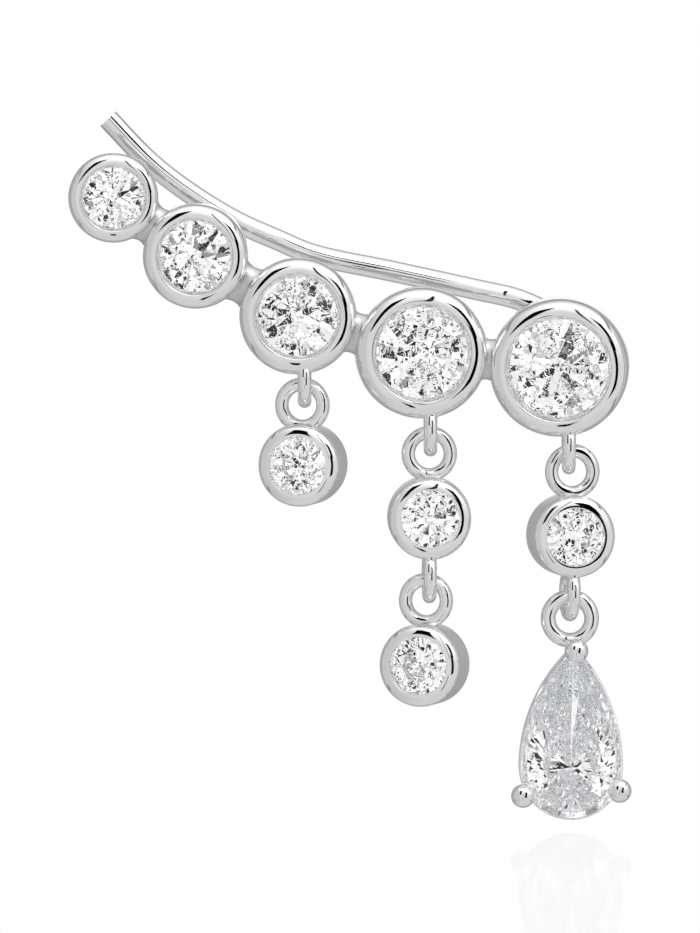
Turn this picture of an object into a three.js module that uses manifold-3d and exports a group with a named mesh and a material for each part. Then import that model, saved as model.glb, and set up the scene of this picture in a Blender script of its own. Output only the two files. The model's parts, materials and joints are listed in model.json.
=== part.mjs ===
// Ear climber earring: a row of round bezel cups that follows the ear's edge, carried by a bent
// ear wire, with three drops of interlinked rings, round drum bezels and one pear-shaped stone.
// Millimetres, +Z up, the stones face -Y. Places are first counted from the centre of the
// largest cup (cup 5, over the lobe); the last group moves the origin to the ear wire's bend.

import * as THREE from 'three';
import { mergeVertices } from 'three/addons/utils/BufferGeometryUtils.js';
import Module from 'manifold-3d';

const wasm = await Module();
wasm.setup();

// ---- driving dimensions ---------------------------------------------------------------------

// The row, from the small cup at the top of the ear to the large one over the lobe.
// x, z: centre; outer: rim radius; stone: girdle radius. Each was soldered by hand and sits a few
// degrees off: nod (about X, downwards), turn (about Z, to the viewer's right).
const CUPS = [
  { number: 1, x: -16.41, z: 6.22, outer: 1.65, stone: 1.19, nod: -1, turn: 2 },
  { number: 2, x: -13.38, z: 4.09, outer: 1.93, stone: 1.37, nod: 1, turn: -1.5 },
  { number: 3, x: -9.63, z: 1.87, outer: 2.15, stone: 1.52, nod: -2, turn: 0.5 },
  { number: 4, x: -5.09, z: 0.53, outer: 2.42, stone: 1.74, nod: -1, turn: 2.5 },
  { number: 5, x: 0, z: 0, outer: 2.55, stone: 1.87, nod: 1.5, turn: -3 },
];
const CUP_SEGMENTS = 28;
const CUP_ROUNDING = 3;
const BACK_ROUND = 0.5;
const BEHIND_CULET = 0.05;

// A cup or drum: a domed rim whose inner side drops to a lip that laps over the stone's girdle.
const LIP = 0.07;
const TABLE_SINK = 0.12;
const LIP_THICKNESS = 0.1;
const LIP_ABOVE_GIRDLE = 0.12;
const STONE_GAP = 0.05;
const BACK_HOLE = 0.4;
const CUP_CREST = 0.3;
const CUP_SHOULDER = 0.33;

// Round stones: sizes as shares of the girdle radius, girdle height in millimetres.
const ROUND_CUT = { mains: 8, table: 0.56, crown: 0.27, pavilion: 0.84 };
const GIRDLE = 0.08;
const STAR_REACH = 0.66;
const LOWER_REACH = 0.77;

// Bars between neighbouring cups.
const BAR_TALL = 1.5;
const BAR_DEEP = 1.1;
const BAR_BACK_SHIFT = 0.1;

// Rings: centreline radius and wire diameter.
const RING = { radius: 0.775, wire: 0.5, around: 20, section: 6 };
const PEAR_RING = { radius: 0.8, wire: 0.55, around: 20, section: 8 };
const RING_HANG = 0.92;

// The edge-on rings under the cups: centre.
const CUP_RINGS = {
  short: { x: -9.38, z: -0.49 },
  middle: { x: -4.75, z: -2.28 },
  main: { x: 0.34, z: -2.94 },
};

// Drum bezels of the drops.
const DRUM = { outer: 1.52, stone: 1.12, depth: 1.9, shoulder: 0.2, edge: 0.12, crest: 0.1 };
const DRUM_SEGMENTS = 24;
const DRUM_ROUNDING = 1;
const RING_TO_DRUM = 2.36;
const DRUM_TO_LOWER_RING = 2.14;

// How each drum hangs: aside from its hook, leaning in the row's plane, turned about its own
// upright, and how much closer to its ring than the others.
const DRUM_HANGS = {
  short: { aside: -0.08, lean: 0, turn: -12, closer: 0.17 },
  upper: { aside: -0.04, lean: 0, turn: 2, closer: 0 },
  lower: { aside: -0.12, lean: 1.8, turn: -15, closer: 0 },
  link: { aside: 0.13, lean: 1, turn: 10, closer: 0 },
};

// The pear: half width of its round end, height of its tip over the round end's centre.
const PEAR = { half: 1.88, tip: 4.43, mains: 14, table: 0.58, crown: 0.5, pavilion: 1.5 };
const PEAR_PLACE = { aside: 0.16, front: -1.0, below: 5.5, lean: 1.2 };
const PEAR_FOCUS = 0.55;
const PEAR_SEAT_GROWTH = 1.035;
const PEAR_WALL = { over: 0.04, thickness: 0.42, front: -0.36, back: 1.04 };
const PEAR_WALL_STEPS = 14;
const CLAW = { radius: 0.44, front: -0.86, back: 0.62, sides: 12, cap: 4 };
// Claws: from the round end's centre, at the tip and on both sides low down.
const CLAWS = [
  { x: 0.09, z: 4.36 },
  { x: -1.76, z: -1.02 },
  { x: 1.79, z: -0.76 },
];

// Ear wire: soldered on cup 5's back, through the piercing, round the bend and up behind the row.
const WIRE_RADIUS = 0.4;
const WIRE_SIDES = 8;
const WIRE_STEPS = 44;
const WIRE_TIP_SINK = 0.15;
const WIRE_ROUTE = [
  [0.25, 0.4, 1.6],
  [0.25, 2.3, 1.62],
  [-0.25, 3.55, 1.82],
  [-1.45, 4.05, 2.34],
  [-3.16, 4.0, 2.74],
  [-6.22, 3.6, 3.42],
  [-9.1, 3.15, 4.05],
  [-10.42, 3.0, 4.6],
  [-11.95, 2.9, 5.29],
  [-13.79, 2.78, 6.43],
  [-15.17, 2.7, 7.52],
  [-16.5, 2.65, 8.9],
];

// The origin: the wire's axis where it passes through the piercing.
const PIERCING = new THREE.Vector3(0.25, 2.1, 1.62);

// ---- materials ------------------------------------------------------------------------------

const polishedMetal = () =>
  new THREE.MeshStandardMaterial({ color: 0xe6e7e9, roughness: 0.12, metalness: 1 });
const clearStone = () =>
  new THREE.MeshStandardMaterial({ color: 0xf4f6f8, roughness: 0.02, metalness: 0 });

// ---- solids ---------------------------------------------------------------------------------

const MERGE = 1e-4;
const BEYOND = 0.3;

// A closed geometry as a solid: shared vertices merged, empty triangles dropped, faces outward.
function solidOf(geometry) {
  const bare = new THREE.BufferGeometry();
  bare.setAttribute('position', geometry.getAttribute('position'));
  bare.setIndex(geometry.getIndex());
  const merged = mergeVertices(bare, MERGE);
  const points = merged.getAttribute('position').array;
  const index = merged.getIndex().array;
  const corner = (i) => new THREE.Vector3().fromArray(points, 3 * i);
  const faces = [];
  let volume = 0;
  for (let i = 0; i < index.length; i += 3) {
    const [a, b, c] = index.slice(i, i + 3);
    if (a === b || b === c || c === a) continue;
    faces.push([a, b, c]);
    volume += corner(a).dot(corner(b).cross(corner(c)));
  }
  const outward = volume > 0 ? faces : faces.map(([a, b, c]) => [a, c, b]);
  return new wasm.Manifold(
    new wasm.Mesh({
      numProp: 3,
      vertProperties: Float32Array.from(points),
      triVerts: Uint32Array.from(outward.flat()),
    }),
  );
}

function geometryOf(solid) {
  const mesh = solid.getMesh();
  const geometry = new THREE.BufferGeometry();
  geometry.setAttribute('position', new THREE.BufferAttribute(mesh.vertProperties, 3));
  geometry.setIndex(new THREE.BufferAttribute(mesh.triVerts, 1));
  geometry.computeVertexNormals();
  return geometry;
}

const joined = (solids) => solids.reduce((sum, solid) => sum.add(solid));

function namedMesh(name, geometry, material) {
  const mesh = new THREE.Mesh(geometry, material);
  mesh.name = name;
  return mesh;
}

// ---- stones ---------------------------------------------------------------------------------

// Where two outline tangents meet: lines through p and q along u and v.
function crossing(p, u, q, v) {
  const share = (q.clone().sub(p).cross(v)) / u.cross(v);
  return p.clone().addScaledVector(u, share);
}

// A brilliant cut over any round outline. mains and mids alternate round the girdle, counted
// against the clock as seen from the front; the table faces -Y at y = 0.
function brilliant({ mains, mids, focus, table, crown, pavilion }) {
  const count = mains.length;
  const culetDepth = crown + GIRDLE + pavilion;
  const towards = (main, share, centre) => main.point.clone().lerp(centre, share);
  const meeting = (k, share, centre) => {
    const here = mains[k];
    const next = mains[(k + 1) % count];
    return crossing(
      towards(here, share, centre), here.tangent, towards(next, share, centre), next.tangent,
    );
  };
  const steps = mains.map((_, k) => k);
  const rings = [
    { y: 0, points: mains.map((main) => towards(main, 1 - table, focus)) },
    {
      y: crown * (1 - STAR_REACH),
      points: steps.map((k) => meeting(k, STAR_REACH * (1 - table), focus)),
    },
    { y: crown, points: mains.map((main) => main.point) },
    { y: crown, points: mids },
    { y: crown + GIRDLE, points: mains.map((main) => main.point) },
    { y: crown + GIRDLE, points: mids },
    {
      y: crown + GIRDLE + pavilion * LOWER_REACH,
      points: steps.map((k) => meeting(k, LOWER_REACH, new THREE.Vector2())),
    },
    { y: culetDepth, points: [new THREE.Vector2()] },
  ];
  const vertices = rings.flatMap(({ y, points }) => points.flatMap((p) => [p.x, y, p.y]));
  const [T, S, P, Q, LP, LQ, L, C] = rings.map((_, ring) => (k) => ring * count + ((k + count) % count));
  const faces = [];
  for (let k = 1; k < count - 1; k += 1) {
    faces.push([T(0), T(k), T(k + 1)]);
  }
  for (const k of steps) {
    const n = k + 1;
    faces.push(
      [T(n), T(k), S(k)],
      [T(k), S(k - 1), P(k)],
      [T(k), P(k), S(k)],
      [S(k), P(k), Q(k)],
      [S(k), Q(k), P(n)],
      [Q(k), P(k), LP(k)],
      [Q(k), LP(k), LQ(k)],
      [P(n), Q(k), LQ(k)],
      [P(n), LQ(k), LP(n)],
      [L(k), LQ(k), LP(k)],
      [L(k), LP(n), LQ(k)],
      [C(0), L(k), LP(k)],
      [C(0), LP(k), L(k - 1)],
    );
  }
  const geometry = new THREE.BufferGeometry();
  geometry.setAttribute('position', new THREE.Float32BufferAttribute(vertices, 3));
  geometry.setIndex(faces.flat());
  return geometry;
}

function roundStone(radius) {
  const at = (angle) => new THREE.Vector2(Math.cos(angle), Math.sin(angle));
  const step = (2 * Math.PI) / ROUND_CUT.mains;
  const angles = Array.from({ length: ROUND_CUT.mains }, (_, k) => k * step);
  return brilliant({
    mains: angles.map((angle) => ({
      point: at(angle).multiplyScalar(radius),
      tangent: at(angle + Math.PI / 2),
    })),
    mids: angles.map((angle) => at(angle + step / 2).multiplyScalar(radius)),
    focus: new THREE.Vector2(),
    table: ROUND_CUT.table,
    crown: ROUND_CUT.crown * radius,
    pavilion: ROUND_CUT.pavilion * radius,
  });
}

// A pear outline about its round end's centre: a half circle below, and two flat arcs that meet
// at the tip. share runs from 0 at the tip against the clock to 1 back at the tip.
function pearAt(half, tip, share) {
  const sideRadius = (half * half + tip * tip) / (2 * half);
  const sideAngle = Math.atan2(tip, sideRadius - half);
  const sideLength = sideRadius * sideAngle;
  const roundLength = Math.PI * half;
  const along = share * (2 * sideLength + roundLength);
  if (along < sideLength) {
    const angle = Math.PI - sideAngle + along / sideRadius;
    const radial = new THREE.Vector2(Math.cos(angle), Math.sin(angle));
    return {
      point: radial.clone().multiplyScalar(sideRadius).add(new THREE.Vector2(sideRadius - half, 0)),
      tangent: new THREE.Vector2(-radial.y, radial.x),
    };
  }
  if (along < sideLength + roundLength) {
    const angle = Math.PI + (along - sideLength) / half;
    const radial = new THREE.Vector2(Math.cos(angle), Math.sin(angle));
    return {
      point: radial.clone().multiplyScalar(half),
      tangent: new THREE.Vector2(-radial.y, radial.x),
    };
  }
  const angle = (along - sideLength - roundLength) / sideRadius;
  const radial = new THREE.Vector2(Math.cos(angle), Math.sin(angle));
  return {
    point: radial.clone().multiplyScalar(sideRadius).add(new THREE.Vector2(half - sideRadius, 0)),
    tangent: new THREE.Vector2(-radial.y, radial.x),
  };
}

function pearStone() {
  const shares = Array.from({ length: PEAR.mains }, (_, k) => k / PEAR.mains);
  const mains = shares.map((share) => pearAt(PEAR.half, PEAR.tip, share));
  mains[0].tangent = new THREE.Vector2(-1, 0);
  const halfStep = 0.5 / PEAR.mains;
  return brilliant({
    mains,
    mids: shares.map((share) => pearAt(PEAR.half, PEAR.tip, share + halfStep).point),
    focus: new THREE.Vector2(0, PEAR_FOCUS),
    table: PEAR.table,
    crown: PEAR.crown,
    pavilion: PEAR.pavilion,
  });
}

// ---- cups and drums -------------------------------------------------------------------------

const stoneHeight = (stone) => (ROUND_CUT.crown + ROUND_CUT.pavilion) * stone + GIRDLE;
const cupDepth = (cup) => TABLE_SINK + stoneHeight(cup.stone) + BEHIND_CULET;

// The full body of a bezel about the Y axis: rounded front shoulder, straight side, rounded back.
function bezelBody({ outer, depth, crest, shoulder, back, rounding, segments }) {
  const half = depth / 2;
  const profile = new THREE.Path();
  profile.moveTo(0, half);
  profile.lineTo(outer - back, half);
  profile.absarc(outer - back, half - back, back, Math.PI / 2, 0, true);
  profile.lineTo(outer, shoulder - half);
  profile.absellipse(crest, shoulder - half, outer - crest, shoulder, 0, -Math.PI / 2, true);
  profile.lineTo(0, -half);
  return solidOf(new THREE.LatheGeometry(profile.getPoints(rounding), segments));
}

// What is cut out of a bezel: the funnel, the groove for the girdle, the seat and the back hole.
function bezelHollow({ depth, stone, crest, segments }) {
  const front = -depth / 2;
  const lip = stone - LIP;
  const girdle = front + TABLE_SINK + ROUND_CUT.crown * stone;
  const grooveFront = girdle - LIP_ABOVE_GIRDLE;
  const grooveBack = girdle + GIRDLE + STONE_GAP;
  const groove = stone + STONE_GAP;
  const hole = BACK_HOLE * stone;
  const seatBack = grooveBack + (groove - hole) * ROUND_CUT.pavilion;
  const slope = (crest - lip) / (grooveFront - LIP_THICKNESS - front);
  const profile = [
    [0, front - BEYOND],
    [crest + slope * BEYOND, front - BEYOND],
    [lip, grooveFront - LIP_THICKNESS],
    [lip, grooveFront],
    [groove, grooveFront],
    [groove, grooveBack],
    [hole, seatBack],
    [hole, -front + BEYOND],
    [0, -front + BEYOND],
  ].map(([radius, y]) => new THREE.Vector2(radius, y));
  return solidOf(new THREE.LatheGeometry(profile, segments));
}

// A round stone in its bezel: its table a little under the rim.
function seatedStone(name, stone, depth, roll) {
  const mesh = namedMesh(name, roundStone(stone), clearStone());
  mesh.position.y = TABLE_SINK - depth / 2;
  mesh.rotation.y = roll;
  return mesh;
}

const edgeOnRing = ({ radius, wire, around, section }) =>
  solidOf(new THREE.TorusGeometry(radius, wire / 2, section, around).rotateY(Math.PI / 2));
const faceOnRing = ({ radius, wire, around, section }) =>
  solidOf(new THREE.TorusGeometry(radius, wire / 2, section, around).rotateX(Math.PI / 2));

// ---- climber --------------------------------------------------------------------------------

const cupShape = (cup) => {
  const lip = cup.stone - LIP;
  const rim = cup.outer - lip;
  return {
    outer: cup.outer,
    stone: cup.stone,
    depth: cupDepth(cup),
    crest: lip + CUP_CREST * rim,
    shoulder: CUP_SHOULDER * cupDepth(cup),
    back: BACK_ROUND,
    rounding: CUP_ROUNDING,
    segments: CUP_SEGMENTS,
  };
};

// A bar from one cup's centre to the next; only the stretch between the rims is left visible.
function barBetween(one, other) {
  const run = new THREE.Vector2(other.x - one.x, other.z - one.z);
  const bar = new THREE.BoxGeometry(run.length(), BAR_DEEP, BAR_TALL);
  bar.rotateY(-run.angle());
  bar.translate((one.x + other.x) / 2, BAR_BACK_SHIFT, (one.z + other.z) / 2);
  return solidOf(bar);
}

function earWire() {
  const route = new THREE.CatmullRomCurve3(
    WIRE_ROUTE.map(([x, y, z]) => new THREE.Vector3(x, y, z)), false, 'centripetal',
  );
  const section = new THREE.Shape();
  section.absarc(0, 0, WIRE_RADIUS, 0, 2 * Math.PI, false);
  const tube = new THREE.ExtrudeGeometry(section, {
    steps: WIRE_STEPS, curveSegments: WIRE_SIDES / 2, extrudePath: route,
  });
  const end = route.getPointAt(1).addScaledVector(route.getTangentAt(1), -WIRE_TIP_SINK);
  const roundedTip = new THREE.SphereGeometry(WIRE_RADIUS, WIRE_SIDES, WIRE_SIDES);
  roundedTip.translate(end.x, end.y, end.z);
  return solidOf(tube).add(solidOf(roundedTip));
}

function climberFrame() {
  const at = (solid, { x, z }) => solid.translate([x, 0, z]);
  const seated = (solid, cup) => at(solid.rotate([cup.nod, 0, cup.turn]), cup);
  const bodies = CUPS.map((cup) => seated(bezelBody(cupShape(cup)), cup));
  const hollows = CUPS.map((cup) => seated(bezelHollow(cupShape(cup)), cup));
  const bars = CUPS.slice(1).map((cup, i) => barBetween(CUPS[i], cup));
  const rings = Object.values(CUP_RINGS).map((place) => at(edgeOnRing(RING), place));
  const metal = joined([...bodies, ...bars, ...rings, earWire()]);
  return metal.subtract(joined(hollows));
}

const STONE_ROLL = 0.37;

function climber() {
  const group = new THREE.Group();
  group.add(namedMesh('climber_frame', geometryOf(climberFrame()), polishedMetal()));
  for (const cup of CUPS) {
    const place = new THREE.Group();
    place.position.set(cup.x, 0, cup.z);
    const { degToRad } = THREE.MathUtils;
    place.rotation.set(degToRad(cup.nod), 0, degToRad(cup.turn), 'ZYX');
    const name = `climber_stone_${cup.number}`;
    place.add(seatedStone(name, cup.stone, cupDepth(cup), STONE_ROLL * cup.number));
    group.add(place);
  }
  return group;
}

// ---- drops ----------------------------------------------------------------------------------

const drumShape = {
  outer: DRUM.outer,
  stone: DRUM.stone,
  depth: DRUM.depth,
  crest: DRUM.stone - LIP + DRUM.crest * (DRUM.outer - DRUM.stone + LIP),
  shoulder: DRUM.shoulder,
  back: DRUM.edge,
  rounding: DRUM_ROUNDING,
  segments: DRUM_SEGMENTS,
};

// A drum bezel about its own centre, its ring above and, where another drop hangs on it, below.
function drumSetting(upperRingHeight, hasLowerRing) {
  const upper = faceOnRing(RING).translate([0, 0, upperRingHeight]);
  const rings = [upper];
  if (hasLowerRing) {
    rings.push(edgeOnRing(RING).translate([0, 0, -DRUM_TO_LOWER_RING]));
  }
  return joined([bezelBody(drumShape), ...rings]).subtract(bezelHollow(drumShape));
}

// A drum drop hung in the ring at hook; gives its group and the place of its own lower ring.
function drumDrop(name, hook, hang, hasLowerRing) {
  const reach = RING_TO_DRUM - hang.closer;
  const lean = THREE.MathUtils.degToRad(hang.lean);
  const turn = THREE.MathUtils.degToRad(hang.turn);
  const swung = new THREE.Group();
  swung.position.set(hook.x + hang.aside, 0, hook.z - RING_HANG);
  swung.rotation.y = lean;
  const drum = new THREE.Group();
  drum.position.z = -reach;
  drum.rotation.z = turn;
  drum.add(namedMesh(`${name}_setting`, geometryOf(drumSetting(reach, hasLowerRing)), polishedMetal()));
  drum.add(seatedStone(`${name}_stone`, DRUM.stone, DRUM.depth, hang.turn));
  swung.add(drum);
  const length = reach + DRUM_TO_LOWER_RING;
  const lowerRing = {
    x: swung.position.x - length * Math.sin(lean),
    z: swung.position.z - length * Math.cos(lean),
  };
  return { group: swung, lowerRing };
}

// The pear's metal: a wall that follows the outline under the girdle, three claws and the ring.
function pearSetting() {
  const outline = (half, tip) => {
    const count = 2 * PEAR_WALL_STEPS;
    return Array.from({ length: count }, (_, k) => pearAt(half, tip, k / count).point);
  };
  const wallShape = new THREE.Shape(outline(PEAR.half + PEAR_WALL.over, PEAR.tip + PEAR_WALL.over));
  const inside = outline(
    PEAR.half + PEAR_WALL.over - PEAR_WALL.thickness,
    PEAR.tip + PEAR_WALL.over - 2 * PEAR_WALL.thickness,
  );
  wallShape.holes.push(new THREE.Path(inside));
  const wall = new THREE.ExtrudeGeometry(wallShape, {
    depth: PEAR_WALL.back - PEAR_WALL.front, bevelEnabled: false,
  });
  wall.rotateX(Math.PI / 2).translate(0, PEAR_WALL.back, 0);
  const claws = CLAWS.map(({ x, z }) => {
    const claw = new THREE.CapsuleGeometry(CLAW.radius, CLAW.back - CLAW.front, CLAW.cap, CLAW.sides);
    claw.translate(x, (CLAW.front + CLAW.back) / 2, z);
    return solidOf(claw);
  });
  const ring = faceOnRing(PEAR_RING).translate([-PEAR_PLACE.aside, 0, PEAR_PLACE.below]);
  const seat = pearStone();
  seat.scale(PEAR_SEAT_GROWTH, PEAR_SEAT_GROWTH, PEAR_SEAT_GROWTH);
  seat.translate(0, PEAR_PLACE.front - PEAR.crown * (PEAR_SEAT_GROWTH - 1), 0);
  return joined([solidOf(wall), ...claws, ring]).subtract(solidOf(seat));
}

function pearDrop(hook) {
  const group = new THREE.Group();
  group.position.set(hook.x, 0, hook.z - RING_HANG);
  group.rotation.y = THREE.MathUtils.degToRad(PEAR_PLACE.lean);
  const pear = new THREE.Group();
  pear.position.set(PEAR_PLACE.aside, 0, -PEAR_PLACE.below);
  pear.add(namedMesh('pear_setting', geometryOf(pearSetting()), polishedMetal()));
  const stone = namedMesh('pear_stone', pearStone(), clearStone());
  stone.position.y = PEAR_PLACE.front;
  pear.add(stone);
  group.add(pear);
  return group;
}

// ---- the earring ----------------------------------------------------------------------------

function earClimber() {
  const short = drumDrop('short_drop', CUP_RINGS.short, DRUM_HANGS.short, false);
  const upper = drumDrop('middle_drop_upper', CUP_RINGS.middle, DRUM_HANGS.upper, true);
  const lower = drumDrop('middle_drop_lower', upper.lowerRing, DRUM_HANGS.lower, false);
  const link = drumDrop('main_drop_link', CUP_RINGS.main, DRUM_HANGS.link, true);
  const row = new THREE.Group();
  row.position.copy(PIERCING).negate();
  row.add(climber(), short.group, upper.group, lower.group, link.group, pearDrop(link.lowerRing));
  const earring = new THREE.Group();
  earring.add(row);
  return earring;
}

export default earClimber();
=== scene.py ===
# %% [markdown]
# # An ear climber earring
#
# The earring is a row of five round stones that climbs along the ear's edge. A bent wire carries it:
# the wire is soldered behind the largest cup, goes through the piercing and runs back up behind the
# ear. Three drops hang under the row, and the longest one ends in a pear-shaped stone. The metal is
# silver with a bright white plating, polished on the rims and brushed on the sides of the drops.
#
# The construction comes in as a fixed frame. This script draws the metal again with fine roundings,
# finishes every surface and sets up the little studio that the earring is shown in.

import json
import math

import bpy
from mathutils import Matrix, Vector


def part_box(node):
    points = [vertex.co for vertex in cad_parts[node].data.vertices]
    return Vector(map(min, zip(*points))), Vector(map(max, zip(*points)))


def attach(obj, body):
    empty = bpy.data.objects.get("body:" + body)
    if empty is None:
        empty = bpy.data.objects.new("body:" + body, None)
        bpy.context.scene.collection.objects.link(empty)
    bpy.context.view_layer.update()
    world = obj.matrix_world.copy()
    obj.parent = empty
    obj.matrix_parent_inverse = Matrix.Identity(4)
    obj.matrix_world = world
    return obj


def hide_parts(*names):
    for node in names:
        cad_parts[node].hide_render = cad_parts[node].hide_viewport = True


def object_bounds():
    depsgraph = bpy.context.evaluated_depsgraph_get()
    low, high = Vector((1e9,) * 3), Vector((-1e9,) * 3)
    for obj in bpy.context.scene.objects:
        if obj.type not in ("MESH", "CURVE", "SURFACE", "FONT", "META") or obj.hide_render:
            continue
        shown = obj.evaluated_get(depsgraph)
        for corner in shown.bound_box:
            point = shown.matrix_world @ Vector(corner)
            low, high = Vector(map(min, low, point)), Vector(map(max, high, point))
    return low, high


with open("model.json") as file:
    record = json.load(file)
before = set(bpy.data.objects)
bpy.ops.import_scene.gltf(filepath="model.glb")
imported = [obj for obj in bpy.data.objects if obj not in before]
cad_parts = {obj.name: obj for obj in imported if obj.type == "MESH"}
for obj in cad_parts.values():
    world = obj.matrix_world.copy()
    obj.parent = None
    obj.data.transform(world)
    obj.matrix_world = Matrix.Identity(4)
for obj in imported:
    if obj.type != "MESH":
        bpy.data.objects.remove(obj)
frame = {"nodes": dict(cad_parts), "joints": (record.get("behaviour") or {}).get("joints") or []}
cad_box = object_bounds()

# %% [markdown]
# ## Drawing small things
#
# Blender's tools work best on things that are some units across, and this earring is 0.026 of a metre
# high. So each piece is drawn in millimetres, where it belongs in the earring, and is brought to metres
# when it is finished. The places come from the frame: the boxes of the stones and the two hinges.

# %% Places taken from the frame
MM = 0.001


def middle_of(node):
    low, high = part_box(node)
    return (low + high) / (2 * MM)


hinges = {joint["name"]: Vector(joint["pos_m"]) / MM for joint in frame["joints"]}
row_y = hinges["link_swing"].y
print("row depth", round(row_y, 3))

# %% [markdown]
# A tool works on all that is selected, so each helper first selects its own piece and nothing else. A
# piece's place goes into its mesh at once: its object stays at the origin, unturned and unscaled. What
# comes back more than once is drawn once, as a pattern, and duplicated with a mesh of its own.

# %% Helpers for drawing by hand


def clear_selection():
    if bpy.context.mode != "OBJECT":
        bpy.ops.object.mode_set(mode="OBJECT")
    bpy.ops.object.select_all(action="DESELECT")


def only(piece):
    clear_selection()
    piece.select_set(True)
    bpy.context.view_layer.objects.active = piece


def edit_all(piece):
    only(piece)
    bpy.ops.object.mode_set(mode="EDIT")
    bpy.ops.mesh.select_all(action="SELECT")


def move(piece, matrix):
    only(piece)
    piece.matrix_world = matrix
    bpy.ops.object.transform_apply(location=True, rotation=True, scale=True)


def copy_of(pattern, name):
    only(pattern)
    bpy.ops.object.duplicate()
    piece = bpy.context.object
    piece.name = name
    return piece


def joined(name, pieces):
    only(pieces[0])
    for piece in pieces[1:]:
        piece.select_set(True)
    bpy.ops.object.join()
    pieces[0].name = name
    return pieces[0]


# %% [markdown]
# ## Turning a piece on the lathe
#
# Cups, bars, drums and claws are turned shapes. By hand such a shape starts as a circle of edges that is
# extruded and scaled, step by step, along a profile of radius and depth. A profile that comes back to
# its start gives a closed collar, and one that ends elsewhere is closed with a face at each end. The Spin
# tool would turn a drawn profile as well, but extruding needs no drawing first.

# %% The lathe
MERGE = 1e-4


def close_and_turn_out():
    """Merges the doubles of the mesh in edit mode, points its faces outwards and leaves edit mode."""
    bpy.ops.mesh.select_all(action="SELECT")
    bpy.ops.mesh.remove_doubles(threshold=MERGE)
    bpy.ops.mesh.normals_make_consistent(inside=False)
    bpy.ops.object.mode_set(mode="OBJECT")


def turned(name, profile, sides, closes=True):
    clear_selection()
    radius, depth = profile[0]
    bpy.ops.mesh.primitive_circle_add(
        vertices=sides, radius=radius, location=(0, depth, 0), rotation=(math.pi / 2, 0, 0)
    )
    piece = bpy.context.object
    piece.name = name
    bpy.ops.object.transform_apply(location=True, rotation=True, scale=True)
    edit_all(piece)
    steps = profile[1:] + profile[:1] if closes else profile[1:]
    if not closes:
        bpy.ops.mesh.edge_face_add()
    for next_radius, next_depth in steps:
        bpy.ops.mesh.extrude_region_move(
            TRANSFORM_OT_translate={"value": (0, next_depth - depth, 0)}
        )
        ratio = next_radius / radius
        bpy.ops.transform.resize(value=(ratio, 1, ratio), center_override=(0, next_depth, 0))
        radius, depth = next_radius, next_depth
    close_and_turn_out()
    return piece


def arc(centre, size, start, end, steps, fullness=2.0):
    """Points of an ellipse in the plane of radius and depth, angles in degrees.
    A fullness above 2 flattens its top and squares its shoulder."""
    points = []
    for i in range(steps + 1):
        angle = math.radians(start + (end - start) * i / steps)
        across, along = math.cos(angle), math.sin(angle)
        across = math.copysign(abs(across) ** (2 / fullness), across)
        along = math.copysign(abs(along) ** (2 / fullness), along)
        points.append((centre[0] + size[0] * across, centre[1] + size[1] * along))
    return points


print("a quarter of a circle in 2 steps:", arc((0, 0), (1, 1), 0, 90, 2))

# %% [markdown]
# ## Finishes
#
# Silver shows in three finishes. Polished silver is almost a mirror, and what tells it from a perfect
# mirror is the polisher's hand: the surface swims a little over a millimetre or two, and very fine
# hairlines dull it here and there. The sides of the drums are brushed: the same metal, with a broad soft
# gloss. The bars and the solder lie where no tool gets in, so they stay dull, and their colour is painted
# a little dark: a painted shade of the recesses between the cups and in the corner behind them.
#
# An effect that several materials share is a node group, which each material uses with its own values.
# The same nodes could be built again in every material, but then a change would have to be made in each.

# %% Helpers for node groups


def new_group(name, inputs):
    """A node group with these inputs, and the three outputs that every surface here needs."""
    group = bpy.data.node_groups.new(name, "ShaderNodeTree")
    for socket, kind in inputs.items():
        group.interface.new_socket(socket, in_out="INPUT", socket_type=kind)
    for socket, kind in (("Color", "Color"), ("Roughness", "Float"), ("Height", "Float")):
        group.interface.new_socket(socket, in_out="OUTPUT", socket_type=f"NodeSocket{kind}")
    inlet = group.nodes.new("NodeGroupInput")
    outlet = group.nodes.new("NodeGroupOutput")
    print(name, "takes", list(inputs))
    return group, inlet, outlet


def new_noise(nodes, detail):
    noise = nodes.new("ShaderNodeTexNoise")
    noise.inputs["Detail"].default_value = detail
    return noise


def new_tone(nodes):
    tone = nodes.new("ShaderNodeMix")
    tone.data_type = "RGBA"
    return tone


print("node groups so far:", len(bpy.data.node_groups))

# %% [markdown]
# The marks of the polisher's hand come from two noise patterns. A coarse one makes the surface swim and
# shifts its tone a little. A very fine one, stretched so that its specks become lines, makes hairlines
# of a rougher surface.

# %% A node group for marks left by polishing
SWIM_SCALE = 500.0
SWIM_DETAIL = 1.0
HAIRLINE_SCALE = 9000.0
HAIRLINE_DETAIL = 3.0
HAIRLINE_STRETCH = (0.08, 1.0, 1.0)


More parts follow.
